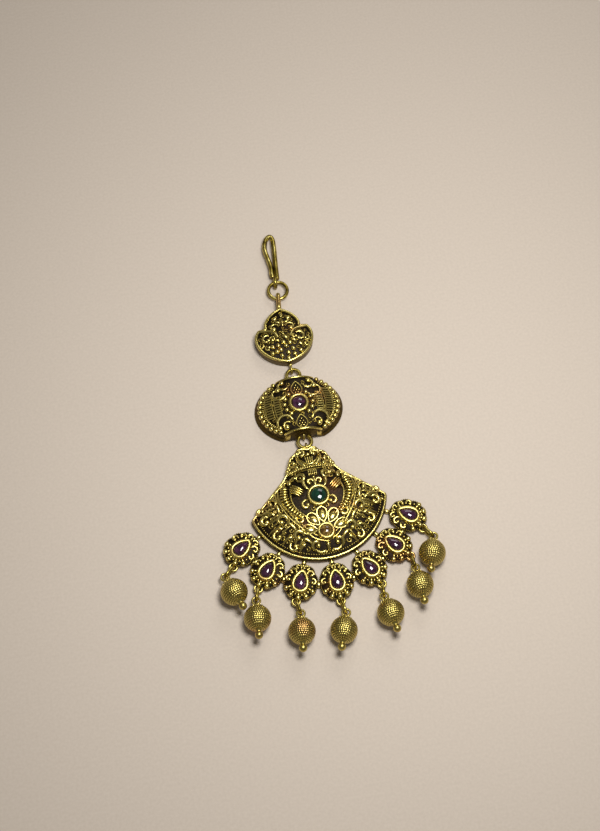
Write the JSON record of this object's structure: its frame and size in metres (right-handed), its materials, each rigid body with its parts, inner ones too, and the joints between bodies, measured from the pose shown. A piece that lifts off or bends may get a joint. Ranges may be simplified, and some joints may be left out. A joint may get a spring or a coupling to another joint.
{
  "type": "maang tikka forehead jewel",
  "caption": "Forehead jewel: a hair hook and cast lotus, domed medallion and fan pendant on jump rings, with a row of set stones and hanging beads.",
  "frame": {"origin": "on the table under the middle of the whole jewel as it lies on its back", "axes": "+X to the wearer's left as the face is seen, +Y from the bead drops towards the hair hook, +Z out of the decorated face"},
  "size_m": [0.0652, 0.1352, 0.0078],
  "materials": {
    "antique_brass": "antique gold plate, dark in the recesses and rubbed bright on the high points",
    "violet_stone": "polished dark purple glass cabochon",
    "green_stone": "polished dark green glass cabochon",
    "amber_stone": "polished honey-coloured glass cabochon"
  },
  "bodies": {
    "root": {"hook": "antique_brass", "hook_ring": "antique_brass", "lotus": "antique_brass", "lotus_ring": "antique_brass", "medallion": "antique_brass", "medallion_ring": "antique_brass", "pendant": "antique_brass", "drop_ring_1": "antique_brass", "drop_ring_2": "antique_brass", "drop_ring_3": "antique_brass", "drop_ring_4": "antique_brass", "drop_ring_5": "antique_brass", "drop_ring_6": "antique_brass", "drop_ring_7": "antique_brass", "drop_bead_1": "antique_brass", "drop_bead_2": "antique_brass", "drop_bead_3": "antique_brass", "drop_bead_4": "antique_brass", "drop_bead_5": "antique_brass", "drop_bead_6": "antique_brass", "drop_bead_7": "antique_brass", "medallion_stone": "violet_stone", "setting_stone_1": "violet_stone", "setting_stone_2": "violet_stone", "setting_stone_3": "violet_stone", "setting_stone_4": "violet_stone", "setting_stone_5": "violet_stone", "setting_stone_6": "violet_stone", "setting_stone_7": "violet_stone", "centre_stone": "green_stone", "flower_stone": "amber_stone"}
  },
  "joints": []
}
